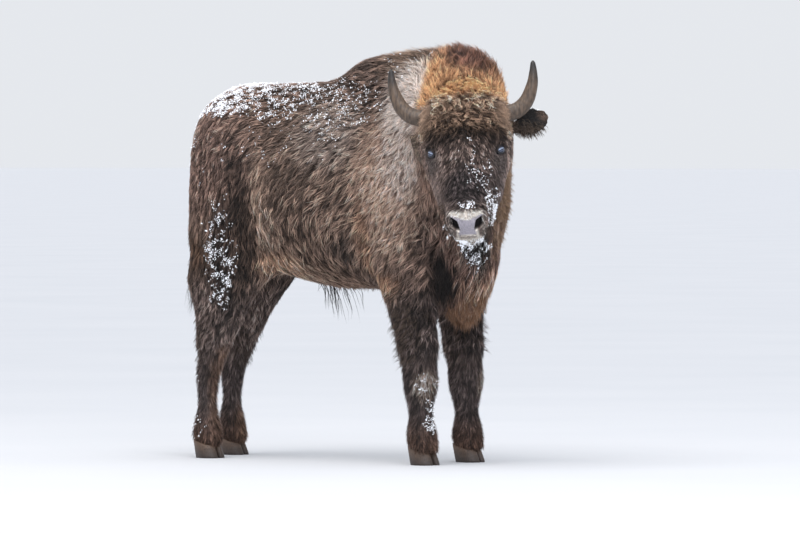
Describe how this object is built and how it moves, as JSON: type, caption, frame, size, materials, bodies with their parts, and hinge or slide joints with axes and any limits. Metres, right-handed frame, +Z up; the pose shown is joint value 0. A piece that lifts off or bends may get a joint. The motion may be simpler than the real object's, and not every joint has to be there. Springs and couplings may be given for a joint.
{
  "type": "bison",
  "caption": "Life-size young European bison in winter coat, standing still with its head turned to its right, with short upright horns, a high hump and a beard.",
  "frame": {"origin": "on the floor, under the middle of the box round the whole animal", "axes": "the body points along -Y with its left side at +X, the head is turned towards -X, and +Z is up"},
  "size_m": [0.708, 1.5794, 1.4216],
  "materials": {
    "body_coat": "dense brown winter hair",
    "mane": "long rust-coloured hair of the crest and neck",
    "dark_coat": "dark brown hair of legs, ears, beard and tassels",
    "horn": "grey horn keratin, darker at the tips",
    "hoof_horn": "dark hoof keratin",
    "eye": "wet dark brown eyeball"
  },
  "bodies": {
    "root": {"trunk": "body_coat", "belly_tuft": "dark_coat", "tail": "body_coat", "tail_tassel": "dark_coat", "horn_right": "horn", "ear_right": "dark_coat", "eye_right": "eye", "horn_left": "horn", "ear_left": "dark_coat", "eye_left": "eye", "neck": "mane", "head": "body_coat", "beard": "dark_coat", "hoof_front_left_inner": "hoof_horn", "hoof_front_left_outer": "hoof_horn", "leg_front_left": "dark_coat", "hoof_front_right_outer": "hoof_horn", "hoof_front_right_inner": "hoof_horn", "leg_front_right": "dark_coat", "hoof_hind_left_inner": "hoof_horn", "hoof_hind_left_outer": "hoof_horn", "leg_hind_left": "dark_coat", "hoof_hind_right_outer": "hoof_horn", "hoof_hind_right_inner": "hoof_horn", "leg_hind_right": "dark_coat"}
  },
  "joints": []
}
